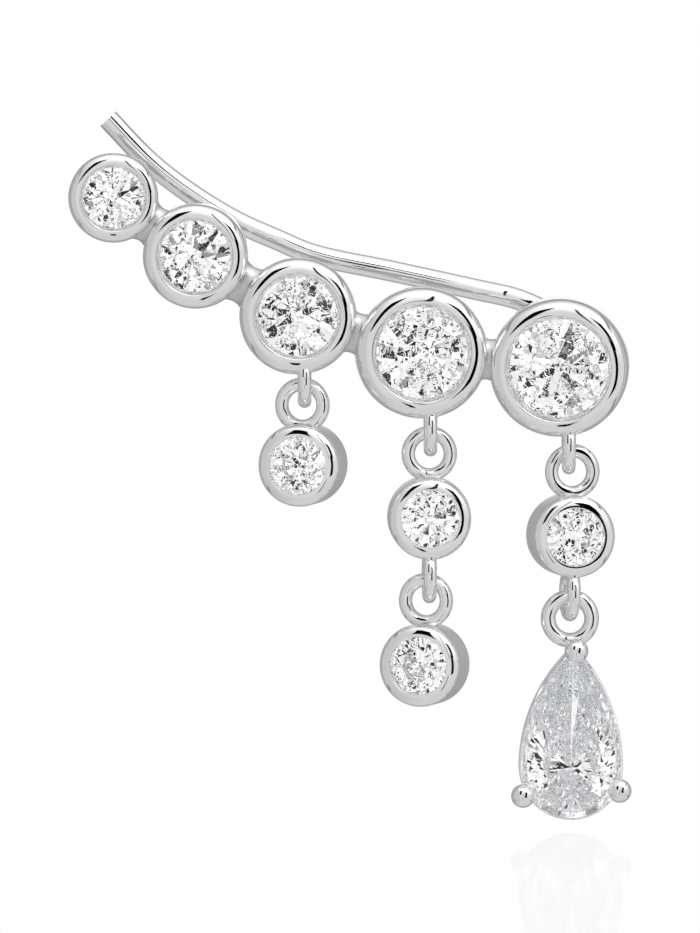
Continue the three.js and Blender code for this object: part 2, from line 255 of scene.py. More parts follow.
def polish_marks_group():
    group, inlet, outlet = new_group(
        "polish_marks",
        {
            "Vector": "NodeSocketVector",
            "Bright": "NodeSocketColor",
            "Dull": "NodeSocketColor",
            "Base roughness": "NodeSocketFloat",
            "Hairlines": "NodeSocketFloat",
        },
    )
    nodes, links = group.nodes, group.links
    swim = new_noise(nodes, SWIM_DETAIL)
    swim.inputs["Scale"].default_value = SWIM_SCALE
    hairline = new_noise(nodes, HAIRLINE_DETAIL)
    hairline.inputs["Scale"].default_value = HAIRLINE_SCALE
    stretch = nodes.new("ShaderNodeVectorMath")
    stretch.operation = "MULTIPLY"
    stretch.inputs[1].default_value = HAIRLINE_STRETCH
    rough = nodes.new("ShaderNodeMath")
    rough.operation = "MULTIPLY_ADD"
    tone = new_tone(nodes)
    links.new(inlet.outputs["Vector"], swim.inputs["Vector"])
    links.new(inlet.outputs["Vector"], stretch.inputs[0])
    links.new(stretch.outputs["Vector"], hairline.inputs["Vector"])
    links.new(hairline.outputs["Fac"], rough.inputs[0])
    links.new(inlet.outputs["Hairlines"], rough.inputs[1])
    links.new(inlet.outputs["Base roughness"], rough.inputs[2])
    links.new(swim.outputs["Fac"], tone.inputs["Factor"])
    links.new(inlet.outputs["Bright"], tone.inputs["A"])
    links.new(inlet.outputs["Dull"], tone.inputs["B"])
    links.new(tone.outputs["Result"], outlet.inputs["Color"])
    links.new(rough.outputs["Value"], outlet.inputs["Roughness"])
    links.new(swim.outputs["Fac"], outlet.inputs["Height"])
    return group


polish_marks = polish_marks_group()

# %% [markdown]
# A material here is a Principled shader whose colour, roughness and bump come from a node group. The
# pattern is laid on the object's own coordinates, in metres, so a bump of a few micrometres is enough to
# bend the reflections. What is the same all over a surface is set on the shader itself.

# %% A material from a node group


def new_material(name):
    material = bpy.data.materials.new(name)
    material.use_nodes = True
    return material, material.node_tree.nodes["Principled BSDF"]


def surface(name, group, values, bump_height):
    material, shader = new_material(name)
    nodes, links = material.node_tree.nodes, material.node_tree.links
    coordinates = nodes.new("ShaderNodeTexCoord")
    marks = nodes.new("ShaderNodeGroup")
    marks.node_tree = group
    for socket, value in values.items():
        marks.inputs[socket].default_value = value
    bump = nodes.new("ShaderNodeBump")
    bump.inputs["Distance"].default_value = bump_height
    links.new(coordinates.outputs["Object"], marks.inputs["Vector"])
    links.new(marks.outputs["Color"], shader.inputs["Base Color"])
    links.new(marks.outputs["Roughness"], shader.inputs["Roughness"])
    links.new(marks.outputs["Height"], bump.inputs["Height"])
    links.new(bump.outputs["Normal"], shader.inputs["Normal"])
    print(name, "uses", group.name)
    return material, shader


print("materials so far:", len(bpy.data.materials))

# %% [markdown]
# The three finishes are one table, so that they can be compared side by side. They are all metal, and
# what sets them apart is how rough they are and how bright.

# %% Three finishes of silver
# Each finish: its brighter and its duller tone, how rough it is, how much rougher its hairlines make it,
# and how high the surface swims, in metres.
FINISHES = {
    "polished_silver": {
        "bright": (0.95, 0.955, 0.96, 1),
        "dull": (0.9, 0.905, 0.915, 1),
        "roughness": 0.02,
        "hairlines": 0.07,
        "swim": 10e-6,
    },
    "brushed_silver": {
        "bright": (0.93, 0.935, 0.94, 1),
        "dull": (0.86, 0.865, 0.875, 1),
        "roughness": 0.26,
        "hairlines": 0.22,
        "swim": 4e-6,
    },
    # Rough as unpolished metal, and darker in colour: the darker tones are painted shade of the recesses.
    "dull_silver_painted_shade": {
        "bright": (0.72, 0.725, 0.73, 1),
        "dull": (0.62, 0.625, 0.635, 1),
        "roughness": 0.24,
        "hairlines": 0.2,
        "swim": 4e-6,
    },
}


def silver(name):
    finish = FINISHES[name]
    values = {
        "Bright": finish["bright"],
        "Dull": finish["dull"],
        "Base roughness": finish["roughness"],
        "Hairlines": finish["hairlines"],
    }
    material, shader = surface(name, polish_marks, values, finish["swim"])
    shader.inputs["Metallic"].default_value = 1.0
    return material


polished = silver("polished_silver")
brushed = silver("brushed_silver")
# The rough silver for the bars and the solder; its darker colour is painted shade.
dull = silver("dull_silver_painted_shade")

# %% [markdown]
# The stones are cubic zirconia. It is clear, with an index of refraction of 2.15, so most light that
# comes in through the table is thrown back by the facets behind. Small stones are cut by machine: a
# trace of polish haze keeps their reflections from being perfectly hard, and their facets aren't quite
# flat. Waves of a few micrometres break each facet's reflection into smaller ones, as they do on the
# real stone. They could be modelled, but a bump of that height does the same and keeps the facets exact.

# %% A node group for a stone's surface
STONE_DETAIL = 2.0
HAZE_SCALE = 1500.0
HAZE_START = 0.45
HAZE_FULL = 0.75
HAZE_ROUGHNESS = 0.02
CLEAR = (1.0, 1.0, 1.0, 1)
HARDLY_BLUE = (0.985, 0.99, 1.0, 1)


def stone_surface_group():
    group, inlet, outlet = new_group(
        "stone_surface", {"Vector": "NodeSocketVector", "Waves per metre": "NodeSocketFloat"}
    )
    nodes, links = group.nodes, group.links
    haze = new_noise(nodes, STONE_DETAIL)
    haze.inputs["Scale"].default_value = HAZE_SCALE
    spread = nodes.new("ShaderNodeMapRange")
    spread.inputs["From Min"].default_value = HAZE_START
    spread.inputs["From Max"].default_value = HAZE_FULL
    spread.inputs["To Min"].default_value = 0.0
    spread.inputs["To Max"].default_value = HAZE_ROUGHNESS
    tone = new_tone(nodes)
    tone.inputs["A"].default_value = CLEAR
    tone.inputs["B"].default_value = HARDLY_BLUE
    waves = new_noise(nodes, STONE_DETAIL)
    links.new(inlet.outputs["Vector"], haze.inputs["Vector"])
    links.new(inlet.outputs["Vector"], waves.inputs["Vector"])
    links.new(inlet.outputs["Waves per metre"], waves.inputs["Scale"])
    links.new(haze.outputs["Fac"], spread.inputs["Value"])
    links.new(haze.outputs["Fac"], tone.inputs["Factor"])
    links.new(tone.outputs["Result"], outlet.inputs["Color"])
    links.new(spread.outputs["Result"], outlet.inputs["Roughness"])
    links.new(waves.outputs["Fac"], outlet.inputs["Height"])
    return group


stone_surface = stone_surface_group()

# %% [markdown]
# The round stones and the pear are the same clear material. Only their waves differ: the pear's facets
# are larger, and so are the waves on them. The gloss of the outside is kept low, so that a stone gets its
# light from within.

# %% Two kinds of clear stone
STONE_INDEX = 2.15
STONE_GLOSS = (0.3, 0.3, 0.3, 1)
STONE_WAVES = {
    "clear_round_stone": {"per_metre": 3000.0, "height": 2e-6},
    "clear_pear_stone": {"per_metre": 800.0, "height": 5e-6},
}


def clear_stone(name):
    waves = STONE_WAVES[name]
    values = {"Waves per metre": waves["per_metre"]}
    material, shader = surface(name, stone_surface, values, waves["height"])
    shader.inputs["IOR"].default_value = STONE_INDEX
    shader.inputs["Specular Tint"].default_value = STONE_GLOSS
    shader.inputs["Transmission Weight"].default_value = 1.0
    return material


round_stone = clear_stone("clear_round_stone")
pear_stone = clear_stone("clear_pear_stone")

# %% [markdown]
# The stones' facets are exact in the frame, so the stones themselves are kept. Each only gets its
# material, and is shaded flat, so that every facet is a small mirror of its own.

# %% Dress the stones
stones = {name: node for name, node in frame["nodes"].items() if "stone" in name}
for name, stone in stones.items():
    only(stone)
    bpy.ops.object.shade_flat()
    stone.data.materials.clear()
    stone.data.materials.append(pear_stone if "pear" in name else round_stone)
print("stones dressed:", len(stones))

# %% [markdown]
# ## Finishing a piece
#
# Every metal piece ends the same way: it is brought from millimetres to metres, shaded smooth up to
# its sharp edges, hung on its body, and it stands for the plain solid of the frame.

# %% The last steps of a piece
SHARP = math.radians(38)


def finish_piece(piece, body, node):
    only(piece)
    piece.scale = (MM, MM, MM)
    bpy.ops.object.transform_apply(location=True, rotation=True, scale=True)
    bpy.ops.object.shade_smooth_by_angle(angle=SHARP)
    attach(piece, body)
    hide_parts(node)
    print(piece.name, "faces", len(piece.data.polygons))


print("edges count as sharp above", round(math.degrees(SHARP)), "degrees")

# %% [markdown]
# ## The cups of the row
#
# Each cup is a bezel: a thick collar of metal whose edge is pressed over its stone. From the front it
# is a broad domed rim that slopes in to a thin lip on the stone. Inside, a groove holds the stone's
# edge with a little air round it. Behind, the collar is rounded and closes to a small hole, so that some
# light gets to the stone's point.

# %% The sizes of a bezel
# The stone: heights of its crown and pavilion as shares of its radius, and its girdle's height.
CROWN = 0.27
PAVILION = 0.84
GIRDLE = 0.08
# Where it sits: its table below the rim, the metal behind its point, and the air round its edge.
TABLE_SINK = 0.12
BEHIND_CULET = 0.05
STONE_GAP = 0.05
# The lip over its edge, and the hole behind it as a share of its radius.
LIP_LAP = 0.07
LIP_EDGE = 0.03
LIP_ABOVE_GIRDLE = 0.12
LIP_THICKNESS = 0.1
BACK_HOLE = 0.4


def stone_height(stone):
    return (CROWN + PAVILION) * stone + GIRDLE


print("height of a stone of radius 1:", stone_height(1))

# %% [markdown]
# All this is one profile on the lathe. The crest of the rim is a share of the way from the lip to the
# outside. From there an arc goes over the shoulder, and a slope that steepens goes down to the lip. Cups
# and drums could each have a profile of their own, but they are the same kind of setting in two sizes.

# %% The profile of a bezel
RIM_DIP = 1.7
RIM_STEPS = 16
SLOPE_STEPS = 12
BACK_STEPS = 8


def bezel_profile(outer, stone, depth, crest_share, shoulder, back, fullness):
    """Radius and depth round a bezel's section, from the edge of the back hole outwards."""
    half = depth / 2
    lip = stone - LIP_LAP
    crest = lip + crest_share * (outer - lip)
    hole = BACK_HOLE * stone
    girdle = TABLE_SINK + CROWN * stone - half
    groove_front = girdle - LIP_ABOVE_GIRDLE
    groove_back = girdle + GIRDLE + STONE_GAP
    slope_depth = groove_front - LIP_THICKNESS + half
    slope = []
    for i in range(1, SLOPE_STEPS + 1):
        share = i / SLOPE_STEPS
        slope.append((crest - (crest - lip) * share, slope_depth * share**RIM_DIP - half))
    return [
        (hole, half),
        (hole + LIP_EDGE, half + LIP_EDGE / 2),
        (outer - back, half),
        *arc((outer - back, half - back), (back, back), 90, 0, BACK_STEPS)[1:],
        *arc((crest, shoulder - half), (outer - crest, shoulder), 0, -90, RIM_STEPS, fullness),
        *slope,
        (lip, groove_front - LIP_EDGE),
        (lip + LIP_EDGE, groove_front),
        (stone + STONE_GAP, groove_front),
        (stone + STONE_GAP, groove_back),
        (hole, groove_back + (stone + STONE_GAP - hole) * PAVILION),
    ]


example = bezel_profile(
    outer=2, stone=1, depth=stone_height(1), crest_share=0.5, shoulder=0.5, back=0.5, fullness=2
)
print("points in a bezel's profile:", len(example))

# %% [markdown]
# The cups grow from the top of the ear to the lobe. They aren't quite parallel, because they are filed
# and soldered by eye, and each catches the light in its own way. A cup's centre is found from its stone:
# the widest part of a stone is its girdle, so its box is centred on the girdle.

# %% The five cups' sizes and places
# Rim radius, stone radius, and how far the cup nods down and turns to the right, in degrees.
CUPS = {
    1: {"outer": 1.65, "stone": 1.19, "nod": -1.0, "turn": 2.0},
    2: {"outer": 1.93, "stone": 1.37, "nod": 1.0, "turn": -1.5},
    3: {"outer": 2.15, "stone": 1.52, "nod": -2.0, "turn": 0.5},
    4: {"outer": 2.42, "stone": 1.74, "nod": -1.0, "turn": 2.5},
    5: {"outer": 2.55, "stone": 1.87, "nod": 1.5, "turn": -3.0},
}


def cup_depth(cup):
    return TABLE_SINK + stone_height(cup["stone"]) + BEHIND_CULET


def cup_tilt(cup):
    nod = Matrix.Rotation(math.radians(cup["nod"]), 4, "X")
    return Matrix.Rotation(math.radians(cup["turn"]), 4, "Z") @ nod


def cup_centre(number):
    cup = CUPS[number]
    girdle = TABLE_SINK + CROWN * cup["stone"] + GIRDLE / 2 - cup_depth(cup) / 2
    found = middle_of(f"climber_stone_{number}") - cup_tilt(cup) @ Vector((0, girdle, 0))
    return Vector((found.x, row_y, found.z))


largest = max(CUPS)
largest_centre = cup_centre(largest)
print("largest cup at", [round(v, 3) for v in largest_centre])

# %% [markdown]
# A cast cup is never a perfect ring: filing and polishing leave it a little uneven. A Displace modifier
# with a soft cloud pattern moves the metal by one or two hundredths of a millimetre, and each cup sits
# in another part of the pattern. Moving vertices by hand would give dents, not such soft swells.

# %% Uneven metal
UNEVEN = 0.035
UNEVEN_SIZE = 2.2

clouds = bpy.data.textures.new("uneven_metal", "CLOUDS")
clouds.noise_scale = UNEVEN_SIZE


def make_uneven(piece, amount):
    only(piece)
    modifier = piece.modifiers.new("uneven", "DISPLACE")
    modifier.texture = clouds
    modifier.texture_coords = "LOCAL"
    modifier.strength = amount
    modifier.mid_level = 0.5
    bpy.ops.object.modifier_apply(modifier=modifier.name)


print("metal moves by up to", UNEVEN / 2, "either way")

# %% [markdown]
# A cup is turned at the origin, tilted, brought to its place and only then made uneven. Its crest lies
# near the lip, which makes the rim look broad and full.

# %% Five cups
CUP_SIDES = 96
CUP_BACK = 0.5
CUP_CREST = 0.24
CUP_SHOULDER = 0.33
CUP_FULLNESS = 2.35


def climber_cup(number):
    cup = CUPS[number]
    depth = cup_depth(cup)
    profile = bezel_profile(
        outer=cup["outer"],
        stone=cup["stone"],
        depth=depth,
        crest_share=CUP_CREST,
        shoulder=CUP_SHOULDER * depth,
        back=CUP_BACK,
        fullness=CUP_FULLNESS,
    )
    piece = turned(f"climber_cup_{number}", profile, CUP_SIDES)
    move(piece, Matrix.Translation(cup_centre(number)) @ cup_tilt(cup))
    make_uneven(piece, UNEVEN)
    piece.data.materials.append(polished)
    finish_piece(piece, "climber", "climber_frame")


for number in CUPS:
    climber_cup(number)

# %% [markdown]
# ## Bars between the cups
#
# The cups don't touch: short bars of metal join them behind the rims, and the solder runs out into
# the corners. A bar is turned like a spool, thin in the middle and wide at its ends, pressed to an oval
# and laid along the line between two cups. Its ends go into the cups' walls. A cube with rounded edges
# would be quicker, but it wouldn't flare like a soldered joint.

# %% Four bars
BAR_TALL = 1.5
BAR_DEEP = 1.1
BAR_BEHIND = 0.1
BAR_FLARE = 1.2
BAR_STEPS = 12
BAR_SIDES = 48
INSIDE_WALL = 0.3


def bar_after(number):
    one = cup_centre(number)
    run = cup_centre(number + 1) - one
    start = CUPS[number]["outer"] - INSIDE_WALL
    end = CUPS[number + 1]["outer"] - INSIDE_WALL
    half = (run.length - start - end) / 2
    spool = []
    for i in range(BAR_STEPS + 1):
        share = 2 * i / BAR_STEPS - 1
        spool.append((BAR_TALL / 2 * (1 + (BAR_FLARE - 1) * share**2), share * half))
    piece = turned(f"climber_bar_{number}", spool, BAR_SIDES, closes=False)
    lying = Matrix.Rotation(-math.pi / 2, 4, "Z")
    pressed = Matrix.Diagonal((1, BAR_DEEP / BAR_TALL, 1, 1))
    slope = Matrix.Rotation(math.atan2(-run.z, run.x), 4, "Y")
    middle = one + Vector((0, BAR_BEHIND, 0)) + run.normalized() * (start + half)
    move(piece, Matrix.Translation(middle) @ slope @ pressed @ lying)
    # The bar's darker colour is painted shade between the cups; its roughness is that of unpolished metal.
    piece.data.materials.append(dull)
    finish_piece(piece, "climber", "climber_frame")


for number in range(1, largest):
    bar_after(number)

# %% [markdown]
# ## Rings
#
# The drops hang in pairs of small rings. The upper ring of a pair is seen from its edge, and the lower
# one lies flat to the viewer. A torus is the shape of a ring of round wire, so it is the start. All but
# the pear's ring are of one size, so one torus is the pattern, and the others are copies of it, stood up
# one way or the other.

# %% A ring and its copies
RING = {"radius": 0.775, "wire": 0.5}
RING_SEGMENTS = 64
RING_SECTION = 24
RING_HANG = 0.92


def torus(name, radius, wire):
    clear_selection()
    bpy.ops.mesh.primitive_torus_add(
        major_radius=radius,
        minor_radius=wire / 2,
        major_segments=RING_SEGMENTS,
        minor_segments=RING_SECTION,
    )
    piece = bpy.context.object
    piece.name = name
    piece.data.materials.append(polished)
    return piece


def stand(ring, edge_on):
    move(ring, Matrix.Rotation(math.pi / 2, 4, "Y" if edge_on else "X"))


ring_pattern = torus("ring_pattern", **RING)
print("ring's hollow:", 2 * RING["radius"] - RING["wire"])

# %% [markdown]
# A ring that is soldered to a cup or a drum reaches into its wall, and further in it would show through
# the stone. So Bisect cuts it on a level plane inside the wall, clears what lies on the stone's side and
# closes the cut ends.

# %% Cut a ring


def cut_ring(ring, level, keep_below):
    edit_all(ring)
    bpy.ops.mesh.bisect(
        plane_co=(0, 0, level),
        plane_no=(0, 0, 1 if keep_below else -1),
        clear_outer=True,
        use_fill=True,
    )
    bpy.ops.object.mode_set(mode="OBJECT")
    print(ring.name, "cut at height", round(level, 2))


print("a ring reaches into its wall by", INSIDE_WALL)

# %% [markdown]
# Three rings hang under the three largest cups, seen from their edge. They are soldered to the row, so
# their places are counted from the centre of the largest cup. The main drop's ring is also the place of
# its hinge, which shows whether the numbers agree with the frame.

# %% Rings under the cups
CUP_RINGS = {
    "short": {"cup": 3, "x": -9.38, "z": -0.49},
    "middle": {"cup": 4, "x": -4.75, "z": -2.28},
    "main": {"cup": 5, "x": 0.34, "z": -2.94},
}

cup_rings = {}
for name, spot in CUP_RINGS.items():
    cup_rings[name] = largest_centre + Vector((spot["x"], 0, spot["z"]))
    ring = copy_of(ring_pattern, f"cup_ring_{name}")
    stand(ring, edge_on=True)
    move(ring, Matrix.Translation(cup_rings[name]))
    reach = CUPS[spot["cup"]]["outer"] - INSIDE_WALL
    cut_ring(ring, cup_centre(spot["cup"]).z - reach, keep_below=True)
    finish_piece(ring, "climber", "climber_frame")
print("main ring off its hinge by", (cup_rings["main"] - hinges["link_swing"]).length)

# %% [markdown]
# ## The ear wire
#
# The wire is one length of round wire. It leaves the largest cup straight backwards, goes round a bend
# and follows the row. Its route is a few turning points, counted from the centre of the largest cup, with
# a smooth curve through them. Between two points the curve looks at one more on either side, and its
# steps are spaced by the root of the distance, which keeps it from overshooting in the tight bend.

# %% The wire's route
WIRE_ROUTE = [
    (0.25, 0.4, 1.6),
    (0.25, 2.3, 1.62),
    (-0.25, 3.55, 1.82),
    (-1.45, 4.05, 2.34),
    (-3.16, 4.0, 2.74),
    (-6.22, 3.6, 3.42),
    (-9.1, 3.15, 4.05),
    (-10.42, 3.0, 4.6),
    (-11.95, 2.9, 5.29),
    (-13.79, 2.78, 6.43),
    (-15.17, 2.7, 7.52),
    (-16.67, 2.64, 9.08),
]
SPAN_STEPS = 10


def curve_point(near, knots, t):
    """The curve's point at t: four neighbours blended to three, two and one."""

    def blend(a, b, low, high):
        return a.lerp(b, (t - low) / (high - low))

    three = [blend(near[k], near[k + 1], knots[k], knots[k + 1]) for k in range(3)]
    two = [blend(three[k], three[k + 1], knots[k], knots[k + 2]) for k in range(2)]
    return blend(two[0], two[1], knots[1], knots[2])


def smooth_route(points):
    points = [Vector(point) for point in points]
    ends = [2 * points[0] - points[1], *points, 2 * points[-1] - points[-2]]
    fine = []
    for i in range(1, len(ends) - 2):
        near = ends[i - 1 : i + 3]
        knots = [0.0]
        for a, b in zip(near, near[1:]):
            knots.append(knots[-1] + math.sqrt((b - a).length))
        for step in range(SPAN_STEPS):
            t = knots[1] + (knots[2] - knots[1]) * step / SPAN_STEPS
            fine.append(curve_point(near, knots, t))
    return [*fine, points[-1]]


wire_points = smooth_route(WIRE_ROUTE)
wire_length = sum((b - a).length for a, b in zip(wire_points, wire_points[1:]))
print("wire length", round(wire_length, 2))

# %% [markdown]
# The wire is drawn as a curve along that route. The curve's own bevel makes it round, and then it is
# made a mesh. Extruding a circle along the bend would do too, but each turn would have to be set by
# hand, and the curve keeps its section square to the route by itself. The end of a real ear wire is
# filed round, so that it doesn't scratch: a Bevel on the end faces takes their edges off.

# %% The ear wire
WIRE_RADIUS = 0.4
WIRE_TIP_EDGE = 0.16
WIRE_TIP_STEPS = 4
WIRE_ROUNDNESS = 10


def wire_tube():
    curve = bpy.data.curves.new("ear_wire_route", "CURVE")
    curve.dimensions = "3D"
    spline = curve.splines.new("POLY")
    spline.points.add(len(wire_points) - 1)
    for point, place in zip(spline.points, wire_points):
        point.co = (*(largest_centre + place), 1)
    curve.bevel_depth = WIRE_RADIUS
    curve.bevel_resolution = WIRE_ROUNDNESS
    curve.use_fill_caps = True
    tube = bpy.data.objects.new("ear_wire_round", curve)
    bpy.context.scene.collection.objects.link(tube)
    only(tube)
    bpy.ops.object.convert(target="MESH")
    return bpy.context.object


def round_off_ends(tube):
    """The end faces are the only ones with more than four corners."""
    bpy.ops.object.mode_set(mode="EDIT")
    bpy.ops.mesh.select_all(action="DESELECT")
    bpy.ops.object.mode_set(mode="OBJECT")
    for face in tube.data.polygons:
        face.select = len(face.vertices) > 4
    bpy.ops.object.mode_set(mode="EDIT")
    bpy.ops.mesh.select_mode(type="FACE")
    bpy.ops.mesh.bevel(offset=WIRE_TIP_EDGE, segments=WIRE_TIP_STEPS, affect="EDGES")
    bpy.ops.mesh.select_mode(type="VERT")
    bpy.ops.object.mode_set(mode="OBJECT")


ear_wire = wire_tube()
edit_all(ear_wire)
close_and_turn_out()
round_off_ends(ear_wire)
ear_wire.data.materials.append(polished)
finish_piece(ear_wire, "climber", "climber_frame")

# %% [markdown]
# Where the wire is soldered to the largest cup, the solder has run up round it in a small hollow
# fillet. It is turned like the cups: its profile is a quarter of a circle seen from outside. Wire and
# cup could be merged and the corner bevelled instead, but a piece of its own can have its own dull finish,
# whose darker colour is painted shade of the corner.

# %% The solder at the wire's root
SOLDER_FOOT = 0.62
SOLDER_RISE = 0.34
SOLDER_SUNK = 0.25
SOLDER_INSIDE = 0.03
SOLDER_STEPS = 8
SOLDER_SIDES = 48


def wire_solder():
    back = cup_depth(CUPS[largest]) / 2
    inner = WIRE_RADIUS - SOLDER_INSIDE
    hollow = arc(
        (SOLDER_FOOT, back + SOLDER_RISE),
        (SOLDER_FOOT - WIRE_RADIUS, SOLDER_RISE),
        180,
        270,
        SOLDER_STEPS,
    )
    profile = [
        (inner, back + SOLDER_RISE),
        *hollow,
        (SOLDER_FOOT, back - SOLDER_SUNK),
        (inner, back - SOLDER_SUNK),
    ]
    piece = turned("ear_wire_solder", profile, SOLDER_SIDES)
    aside, _, above = WIRE_ROUTE[1]
    move(piece, Matrix.Translation(largest_centre + Vector((aside, 0, above))))
    # The solder's darker colour is painted shade of the corner behind the cup.
    piece.data.materials.append(dull)
    finish_piece(piece, "climber", "climber_frame")


wire_solder()

# %% [markdown]
# ## The drums
#
# The small stones of the drops sit in drums: straight collars with a domed rim. Each drum hangs a little
# aside, leans a little and is turned on its ring, and so each shows another side. A drum's own lower
# ring, if it has one, is the hook for the next piece, so the places follow from one another.

# %% How each drum hangs
RING_TO_DRUM = 2.36
DRUM_TO_LOWER_RING = 2.14

# What each drum hangs on; its shift aside and how much closer to its ring it is than usual, in
# millimetres; its lean in the row's plane and its turn about the upright, in degrees.
HANGS = {
    "short_drop": {"on": "short", "aside": -0.08, "closer": 0.17, "lean": 0.0, "turn": -12.0},
    "middle_drop_upper": {"on": "middle", "aside": -0.04, "closer": 0.0, "lean": 0.0, "turn": 2.0},
    "middle_drop_lower": {
        "on": "middle_drop_upper",
        "aside": -0.12,
        "closer": 0.0,
        "lean": 1.8,
        "turn": -15.0,
    },
    "main_drop_link": {"on": "main", "aside": 0.13, "closer": 0.0, "lean": 1.0, "turn": 10.0},
}
WITH_LOWER_RING = ("middle_drop_upper", "main_drop_link")


def drum_place(hook, hang):
    swung = Matrix.Translation(hook + Vector((hang["aside"], 0, -RING_HANG)))
    swung = swung @ Matrix.Rotation(math.radians(hang["lean"]), 4, "Y")
    down = Matrix.Translation((0, 0, hang["closer"] - RING_TO_DRUM))
    return swung @ down @ Matrix.Rotation(math.radians(hang["turn"]), 4, "Z")


hooks = dict(cup_rings)
places = {}
for name, hang in HANGS.items():
    places[name] = drum_place(hooks[hang["on"]], hang)
    hooks[name] = places[name] @ Vector((0, 0, -DRUM_TO_LOWER_RING))
pear_hook = hooks["main_drop_link"]
print("pear hook off its hinge by", round((pear_hook - hinges["pear_swing"]).length, 4))

# %% [markdown]
# A drum's collar is a bezel like the cups', with a straight wall and only a small rounding behind. The
# rim and the back are polished and the wall is brushed: the faces that point straight out from the axis
# get the second material. The four collars are one size, so this one is a pattern too.

# %% The drums' collar
DRUM_OUTER = 1.52
DRUM_STONE = 1.12
DRUM_DEPTH = 1.9
DRUM_SHOULDER = 0.36
DRUM_FULLNESS = 2.0
DRUM_BACK = 0.12
DRUM_CREST = 0.1
DRUM_SIDES = 80
POINTS_OUT = 0.9


def drum_collar():
    profile = bezel_profile(
        outer=DRUM_OUTER,
        stone=DRUM_STONE,
        depth=DRUM_DEPTH,
        crest_share=DRUM_CREST,
        shoulder=DRUM_SHOULDER,
        back=DRUM_BACK,
        fullness=DRUM_FULLNESS,
    )
    collar = turned("collar_pattern", profile, DRUM_SIDES)
    collar.data.materials.append(polished)
    collar.data.materials.append(brushed)
    for face in collar.data.polygons:
        outwards = Vector((face.center.x, 0, face.center.z)).normalized()
        if face.normal.dot(outwards) > POINTS_OUT:
            face.material_index = 1
    return collar


collar_pattern = drum_collar()
print("collar faces", len(collar_pattern.data.polygons))

# %% [markdown]
# Each drum is put together at the origin: a copy of the collar, a flat ring on top and, if it carries
# another piece, a ring seen from its edge below. Then it is joined, brought to its place and made a
# little uneven, less than the larger cups. After the last drum both patterns are removed.

# %% Four drums
DRUM_UNEVEN = UNEVEN / 3


def drum_ring(height, edge_on):
    """A ring soldered above or below the collar, with the drum's centre at the origin."""
    ring = copy_of(ring_pattern, "drum_ring")
    stand(ring, edge_on)
    move(ring, Matrix.Translation((0, 0, height)))
    reach = math.copysign(DRUM_OUTER - INSIDE_WALL, height)
    cut_ring(ring, reach, keep_below=height < 0)
    return ring


def drum(name, body):
    parts = [copy_of(collar_pattern, f"{name}_bezel")]
    parts.append(drum_ring(RING_TO_DRUM - HANGS[name]["closer"], edge_on=False))
    if name in WITH_LOWER_RING:
        parts.append(drum_ring(-DRUM_TO_LOWER_RING, edge_on=True))
    piece = joined(f"{name}_bezel", parts)
    move(piece, places[name])
    make_uneven(piece, DRUM_UNEVEN)
    finish_piece(piece, body, f"{name}_setting")


for name in places:
    drum(name, "main_drop_link" if name == "main_drop_link" else "climber")
for pattern in (ring_pattern, collar_pattern):
    bpy.data.objects.remove(pattern)

# %% [markdown]
# ## The pear's setting
#
# The pear sits on a low wall that follows its outline, and three claws hold it: one over the tip and
# two low on the sides, each ending in a small ball. A stretched circle would be an egg without a tip, so
# the outline is a half circle and two flat arcs that meet in the tip, and a point on it is found from its
# share of the way round.

# %% The pear's outline
PEAR_HALF = 1.88
PEAR_TIP = 4.43
PEAR_SIDES = 96


def pear_point(half, tip, share):
    """A point of the outline about the round end's centre; share runs round from the tip."""
    side_radius = (half * half + tip * tip) / (2 * half)
    side_angle = math.atan2(tip, side_radius - half)
    side_length = side_radius * side_angle
    round_length = math.pi * half
    along = share * (2 * side_length + round_length)
    if along < side_length:
        angle = math.pi - side_angle + along / side_radius
        offset, radius = side_radius - half, side_radius
    elif along < side_length + round_length:
        angle = math.pi + (along - side_length) / half
        offset, radius = 0.0, half
    else:
        angle = (along - side_length - round_length) / side_radius
        offset, radius = half - side_radius, side_radius
    return offset + radius * math.cos(angle), radius * math.sin(angle)


print("the pear's tip and lowest point:", pear_point(PEAR_HALF, PEAR_TIP, 0), -PEAR_HALF)

# %% [markdown]
# The wall starts as a circle of edges. Its vertices are set on the outline, and then the edges are
# extruded round the wall's section: back, in, forward and out again, with a small bevel at each corner.
# After each extrusion the new vertices, the last ones of the mesh, are set on their own outline. The
# wall is thicker in the tip, where a claw stands on it.

# %% The wall
WALL_OVER = 0.04
WALL_THICK = 0.42
WALL_TIP_THICK = 2 * WALL_THICK
WALL_FRONT = -0.36
WALL_BACK = 1.04
WALL_EDGE = 0.05
INSIDE_PEAR = Vector((0, 0, PEAR_TIP / 4))
FACES_ASIDE = 0.3


def set_on_pear(piece, half, tip, depth, grow):
    """Sets the last round of vertices on a pear outline, grown all round, at that depth."""
    vertices = piece.data.vertices
    for k in range(PEAR_SIDES):
        x, z = pear_point(half + grow, tip + grow, k / PEAR_SIDES)
        vertices[len(vertices) - PEAR_SIDES + k].co = (x, depth, z)


def brush_outside(piece):
    """The wall's outer faces look away from a point inside the pear, and not to the front or back."""
    for face in piece.data.polygons:
        looks_aside = abs(face.normal.y) < FACES_ASIDE
        if looks_aside and face.normal.dot(face.center - INSIDE_PEAR) > 0:
            face.material_index = 1


